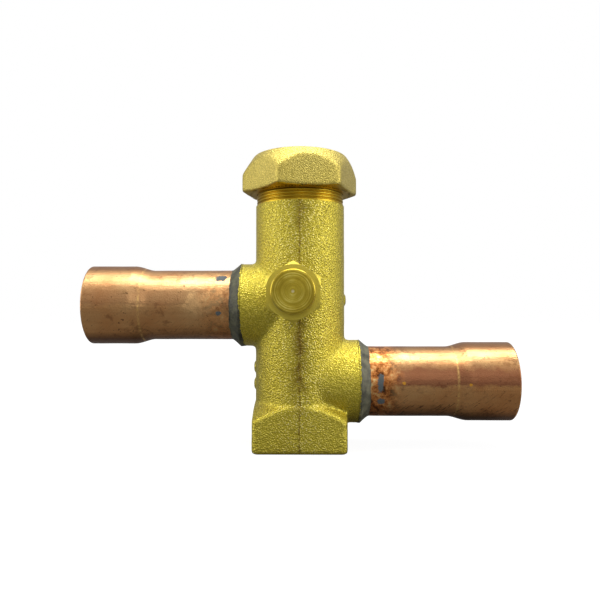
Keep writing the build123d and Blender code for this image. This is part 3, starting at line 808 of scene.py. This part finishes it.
root = np.maximum(near_root(points, LEFT_Z, -1), near_root(points, RIGHT_Z, 1))
points = relax(points, edges, root * 0.6, ROOT_ROUNDS)
outer = np.hypot(points[:, 0], points[:, 1]) > INSIDE_R
points = relax(points, edges, outer * 0.35, SKIN_ROUNDS)
normals = point_normals(made, points)
coarse = np.array([noise.noise(Vector(p) * 260.0) for p in points]) * 0.035 * MM
fine_grain = np.array([noise.noise(Vector(p) * 700.0) for p in points]) * 0.03 * MM
wander = np.array([noise.noise(Vector((0.0, 0.0, z * 90.0))) for z in points[:, 2]]) * 0.25 * MM
seam = np.exp(-(((points[:, 0] - wander) / SEAM_WIDTH) ** 2)) * SEAM_HEIGHT
seam *= (np.abs(points[:, 1]) > 11.0 * MM) & (points[:, 2] > FOOT)
push = np.where(outer & (points[:, 2] > 0.4 * MM), coarse + fine_grain + seam, 0.0)
points = points + normals * push[:, None]
print("pushed in and out by up to", round(float(np.abs(push).max()) / MM, 3), "mm")

# %% [markdown]
# ## What the lathe left sharp
# The top, the charging nose and the ends of the stubs were turned after forging, so they keep crisp
# edges. The even mesh would round them, so it is dropped there, and the threads and the other turned
# faces follow below. A boolean would cut the skin exactly, but dropping whole small squares strays from
# the cut by only about a quarter of a millimetre.

# %% Part the skin from the turned ends
LATHE_DEPTH = 0.9 * MM
END_DEPTH = 0.7 * MM
NOSE_ZONE_R = 7.2 * MM


def kept_faces(p, all_faces, keep):
    """The points and faces left when only the faces whose middle passes the test are kept."""
    chosen = [f for f in all_faces if keep(p[list(f)].mean(axis=0))]
    used = sorted({v for f in chosen for v in f})
    renumber = {v: i for i, v in enumerate(used)}
    return p[used], [tuple(renumber[v] for v in f) for f in chosen]


def turned_zone(c):
    """True where the lathe cut the forging, from a point on it."""
    top = c[2] > SHOULDER_Z - LATHE_DEPTH
    nose = c[1] < -(BARREL_R + LATHE_DEPTH) and math.hypot(c[0] - PORT_X, c[2] - PORT_Z) < NOSE_ZONE_R
    ends = abs(c[0]) > STUB_END - END_DEPTH
    return top or nose or ends


skin_points, skin_faces = kept_faces(points, faces, lambda c: not turned_zone(c))
forging = mesh_object("forging", skin_points, skin_faces, body_brass, "valve")
print("forging skin:", len(skin_faces), "faces")

# %% [markdown]
# ## Threads
# The CAD leaves a thread as a plain cylinder. A bump could draw the grooves, but their edge against the
# background would stay straight. Here the thread is a grid wrapped round the axis, whose radius follows a
# wave along a helix, so the grooves are real. The wave is flat for a third of each turn, which leaves
# wide crests between the grooves.

# %% Cut the threads
THREAD_DEPTH = 0.5 * MM


def thread_skin(name, centre, axis, radius, start, end, pitch, material, columns=96, steps=8):
    """A threaded cylinder. Axis 2 runs up, axis 1 forwards (towards -Y). steps is rings per pitch."""
    rows = int(round((end - start) / pitch * steps)) + 1
    points = []
    for r in range(rows):
        along = start + (end - start) * r / (rows - 1)
        runout = min(1.0, (along - start) / pitch, (end - along) / pitch)
        for c in range(columns):
            turn = 2 * math.pi * c / columns
            wave = abs(2 * ((along / pitch - c / columns) % 1.0) - 1)
            groove = min(1.0, max(0.0, (wave - 0.35) / 0.55))
            reach = radius - THREAD_DEPTH * groove * max(runout, 0.0)
            across = reach * math.cos(turn)
            other = reach * math.sin(turn)
            if axis == 2:
                points.append((centre[0] + across, centre[1] + other, along))
            else:
                points.append((centre[0] + across, -along, centre[2] + other))
    thread = mesh_object(name, points, grid_faces(rows, columns), material, "valve")
    return thread


body_thread = thread_skin("body_thread", (0, 0, 0), 2, THREAD_R, SHOULDER_Z, BODY_TOP - 0.6 * MM,
                          THREAD_PITCH, thread_brass_with_painted_shade)
nose_thread = thread_skin("nose_thread", (PORT_X, 0, PORT_Z), 1, NOSE_R, NOSE_FROM, NOSE_TO, NOSE_PITCH,
                          port_brass, steps=12)
print("thread faces:", len(body_thread.data.polygons), "and", len(nose_thread.data.polygons))

# %% [markdown]
# ## The turned faces
# Where the lathe cut the forging the CAD's own mesh is already crisp, so its faces are used as they are,
# split along the planes where the skin ends. The threads' plain cylinders are left out, because the
# grooves stand there now. What the lathe left bright gets the turned brass, and the rims of the stubs get
# the forging's.

# %% Keep the CAD's turned faces
LATHE_PLANES = [
    ((0, 0, SHOULDER_Z - LATHE_DEPTH), (0, 0, 1)),
    ((0, -BARREL_R - LATHE_DEPTH, 0), (0, 1, 0)),
    ((STUB_END - END_DEPTH, 0, 0), (1, 0, 0)),
    ((END_DEPTH - STUB_END, 0, 0), (1, 0, 0)),
]


def cad_turned(c):
    """True for CAD faces the lathe cut, the threads' own cylinders left out."""
    round_top = math.hypot(c[0], c[1]) > THREAD_R - 0.15 * MM
    thread = SHOULDER_Z + 0.05 * MM < c[2] < BODY_TOP - 0.65 * MM and round_top
    round_nose = abs(math.hypot(c[0] - PORT_X, c[2] - PORT_Z) - NOSE_R) < 0.1 * MM
    nose_thread = NOSE_FROM < -c[1] < NOSE_TO and round_nose
    return turned_zone(c) and not thread and not nose_thread


def lathe_bright(c):
    """True where the turned metal is left bright: above the shoulder and on the charging nose."""
    return c[2] > SHOULDER_Z - 0.02 * MM or c[1] < -(BARREL_R + LATHE_DEPTH)


turned_ends = cut_from(nodes["valve_body"], "turned_ends", lambda c: cad_turned(c) and lathe_bright(c),
                       thread_brass_with_painted_shade, "valve", LATHE_PLANES)
rims = cut_from(nodes["valve_body"], "rims", lambda c: cad_turned(c) and not lathe_bright(c), body_brass,
                "valve", LATHE_PLANES)
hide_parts("valve_body")
print("turned faces:", len(turned_ends.data.polygons), "and", len(rims.data.polygons), "on the rims")

# %% [markdown]
# ## The large cap
# The cap is forged too, and then bored and threaded. Its hexagon has soft edges where it was tumbled, so
# its outside gets the same even mesh and smoothing as the body, while the bored and faced underside stays
# crisp. A bevel would give every edge the same radius, where tumbling rounds the corners more than the
# flats' edges.

# %% Soften the large cap
CAP_VOXEL = 0.36 * MM
CAP_BORE_R = 14.6 * MM
CAP_ROOF = 2.0 * MM
FACED_R = 16.2 * MM
FACED_DEPTH = 1.6 * MM
TUMBLED_ROUNDS = 9
cap_low, cap_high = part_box("stem_cap")
cap_points, cap_faces, cap_made = even_mesh(nodes["stem_cap"], CAP_VOXEL)
cap_points = relax(cap_points, edge_pairs(cap_made), np.full(len(cap_points), 0.6), TUMBLED_ROUNDS)
point_normals(cap_made, cap_points)


def cap_outside(c):
    """True on the cap's tumbled outside."""
    under = c[2] < cap_low[2] + FACED_DEPTH and math.hypot(c[0], c[1]) < FACED_R
    bore = math.hypot(c[0], c[1]) < CAP_BORE_R and c[2] < cap_high[2] - CAP_ROOF
    return not under and not bore


outside_points, outside_faces = kept_faces(cap_points, cap_faces, cap_outside)
cap_skin = mesh_object("cap_skin", outside_points, outside_faces, cap_brass, "cap")
cap_bore = cut_from(nodes["stem_cap"], "cap_bore", lambda c: not cap_outside(c), thread_brass_with_painted_shade, "cap",
                    [((0, 0, cap_low[2] + FACED_DEPTH), (0, 0, 1))])
# the underside was faced on the lathe, so it gets the turned brass
cap_skin.data.materials.append(thread_brass_with_painted_shade)
for polygon in cap_skin.data.polygons:
    polygon.material_index = 1 if polygon.normal.z < -0.7 else 0
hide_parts("stem_cap")
print("cap skin:", len(cap_skin.data.polygons), "faces")

# %% [markdown]
# ## The swages
# The CAD opens each tube's socket with a plain cone. A real swage is drawn out over a mandrel, so the
# metal leaves the tube and reaches the socket in two soft bends. The tube's outside is a grid of rings
# along that curve, with the mandrel's slight unevenness, and the bore and the rim stay from the CAD. A
# screw modifier on a drawn curve makes the same shape, but the grid needs no modifier and can be uneven.

# %% Draw the tubes' outsides
SOCKET_R = (right_high[2] - right_low[2]) / 2
SWAGE_FROM, SWAGE_TO = 46.6 * MM, 53.2 * MM
RIM = 0.45 * MM
UNEVEN = 0.05 * MM


def outside_radius(along):
    """Outer radius of a tube at a distance from the valve's middle."""
    t = min(1.0, max(0.0, (along - SWAGE_FROM) / (SWAGE_TO - SWAGE_FROM)))
    return TUBE_R + (SOCKET_R - TUBE_R) * t * t * (3 - 2 * t)


def tube_outside(name, side, height, node, material, rows=170, columns=128):
    """One tube's outside; side is -1 for the left tube and 1 for the right."""
    start, stop = STUB_END - 0.5 * MM, TUBE_END - RIM
    points = []
    for row in range(rows):
        along = start + (stop - start) * row / (rows - 1)
        for c in range(columns):
            turn = 2 * math.pi * c / columns
            where = Vector((along * 120 + side * 9, math.cos(turn) * 1.3, math.sin(turn) * 1.3))
            settled = min(1.0, (stop - along) / (2 * MM))
            reach = outside_radius(along) + noise.noise(where) * UNEVEN * settled
            points.append((side * along, reach * math.cos(turn), height + reach * math.sin(turn)))
    faces = grid_faces(rows, columns)
    if side < 0:
        faces = [tuple(reversed(f)) for f in faces]
    outside = mesh_object(name, points, faces, material, "valve")

    def inner(c):
        """True on the bore, the rim and the end inside the stub."""
        along = abs(c[0])
        bore = math.hypot(c[1], c[2] - height) < outside_radius(along) - 0.7 * MM
        return bore or along < start or along > stop - 0.01 * MM

    bore = cut_from(nodes[node], name + "_bore", inner, material, "valve",
                    [((side * start, 0, 0), (1, 0, 0)), ((side * stop, 0, 0), (1, 0, 0))])
    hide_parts(node)


tube_outside("left_tube_skin", -1, LEFT_Z, "left_tube", left_copper)
tube_outside("right_tube_skin", 1, RIGHT_Z, "right_tube", right_copper)
print("socket radius", round(SOCKET_R, 5))

# %% [markdown]
# ## Braze collars
# The CAD's braze ring is a clean fillet. The real one is a run of alloy under burnt flux: its edge creeps
# over the end of the stub and along the tube by a different amount all the way round. Each collar is a
# grid of points whose outline runs from the stub, over its edge and down to the tube, and whose two ends
# wander. Sculpting would give the same, but a grid moved by noise comes out alike each time.

# %% Build the braze collars
CREEP_BACK, CREEP_ON = 0.35, 2.75
FILLET = 2.6 * MM
CRUST = 0.10 * MM
SUNK = 0.04 * MM


def braze_collar(name, side, height, node, material, creep_below, rows=26, columns=260):
    """The rough collar of one joint. side is -1 for the left tube.

    creep_below is how far, in millimetres, it runs further back onto the stub underneath.
    """
    shift = Vector((0, 0, height * 300))
    points = []
    for row in range(rows):
        t = row / (rows - 1)
        for c in range(columns):
            turn = 2 * math.pi * c / columns
            ring = Vector((math.cos(turn), math.sin(turn), side * 3.0))
            sag = max(0.0, -math.sin(turn))
            creep = CREEP_BACK + creep_below * sag + 0.30 * noise.fractal(ring * 3.2 + shift, 1.0, 2.0, 3)
            start = STUB_END - (creep + 0.30 * noise.fractal(ring * 26.0 + shift, 0.6, 2.0, 3)) * MM
            stop = STUB_END + (CREEP_ON + 0.25 * noise.fractal(ring * 4.1 - shift, 1.0, 2.0, 4)) * MM
            along = start + (stop - start) * t
            fall = min(1.0, max(0.0, (along - STUB_END + 0.1 * MM) / FILLET))
            hollow = (1 - fall) ** 1.2
            reach = TUBE_R + 0.05 * MM + (STUB_R - TUBE_R) * hollow
            where = Vector((along * 700, ring.x * 8, ring.y * 8)) + shift
            lump = noise.fractal(where, 1.0, 2.0, 4) * 0.08 * MM
            edge = math.sin(math.pi * t) ** 0.5
            reach += (CRUST + lump) * edge - SUNK * (1 - edge)
            points.append((side * along, reach * math.cos(turn), height + reach * math.sin(turn)))
    faces = grid_faces(rows, columns)
    if side < 0:
        faces = [tuple(reversed(f)) for f in faces]
    collar = mesh_object(name, points, faces, material, "valve")
    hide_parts(node)
    return collar


left_collar = braze_collar("left_collar", -1, LEFT_Z, "left_braze_ring", left_flux, 1.2)
right_collar = braze_collar("right_collar", 1, RIGHT_Z, "right_braze_ring", right_flux, 0.4)
print("collars:", len(left_collar.data.polygons), "and", len(right_collar.data.polygons), "faces")

# %% [markdown]
# ## The rest of the CAD pieces
# What no skin replaces keeps its CAD mesh and only gets a material: the small cap, the gaskets, the stem
# and the charging core. The pieces that are replaced get theirs too, so that nothing is left grey. They
# are listed by material, because that is how a maker would sort the bins.

# %% Give each CAD piece its material
bins = [
    (body_brass, ["valve_body"]),
    (cap_brass, ["stem_cap"]),
    (port_cap_brass, ["port_cap"]),
    (port_brass, ["core_barrel", "core_pin"]),
    (stem_brass, ["stem", "disc_washer"]),
    (steel, ["retaining_ring", "core_spring", "disc_screw"]),
    (left_copper, ["left_tube"]),
    (right_copper, ["right_tube"]),
    (left_flux, ["left_braze_ring"]),
    (right_flux, ["right_braze_ring"]),
    (white_seal, ["core_gasket", "stem_cap_gasket", "seat_disc"]),
    (rubber, ["stem_o_ring_lower", "stem_o_ring_upper", "port_cap_gasket", "core_seal"]),
]
for material, names in bins:
    for node in names:
        for material_slot in nodes[node].material_slots:
            material_slot.material = material
print("CAD pieces with a material:", sum(len(names) for _, names in bins), "of", len(nodes))

# %% [markdown]
# ## Floor
# The valve stands on plain paper that looks white to the camera and keeps a pale shadow. Its colour for
# the camera is mostly its own glow with a little of the lamps' light, so the shadow shows near the base
# and fades into white further out. Metal sees another sheet, a dark grey one, which keeps the undersides
# of the tubes dark. White paper for both would be simpler, and truer to a studio, but it flattens the
# round pieces.

# %% Lay the floor
FLOOR_REACH = 3.0
corners = [(-FLOOR_REACH, -FLOOR_REACH, 0), (FLOOR_REACH, -FLOOR_REACH, 0), (FLOOR_REACH, FLOOR_REACH, 0),
           (-FLOOR_REACH, FLOOR_REACH, 0)]
floor_mesh = bpy.data.meshes.new("floor")
floor_mesh.from_pydata(corners, [], [(0, 1, 2, 3)])
floor = bpy.data.objects.new("floor", floor_mesh)
scene.collection.objects.link(floor)
floor.location.z = -0.02 * MM
paper = bpy.data.materials.new("floor_paper")
paper.use_nodes = True
floor_mesh.materials.append(paper)
tree = paper.node_tree
tree.nodes.clear()
far = length(tree, add(tree, "TexCoord").outputs["Object"])
lit = add(tree, "BsdfDiffuse", Color=(0.9, 0.9, 0.9, 1)).outputs[0]
glow = add(tree, "Emission", Color=(1, 1, 1, 1), Strength=1.09).outputs[0]
for_camera = add(tree, "MixShader", Fac=fade(tree, far, 0.10, 0.45, 0.86, 1.0), _1=lit,
                 _2=glow).outputs[0]
for_metal = add(tree, "BsdfDiffuse", Color=(0.16, 0.16, 0.16, 1)).outputs[0]
seen_by_camera = add(tree, "LightPath").outputs["Is Camera Ray"]
both = add(tree, "MixShader", Fac=seen_by_camera, _1=for_metal, _2=for_camera)
add(tree, "OutputMaterial", Surface=both.outputs[0])
print("floor:", 2 * FLOOR_REACH, "m wide")
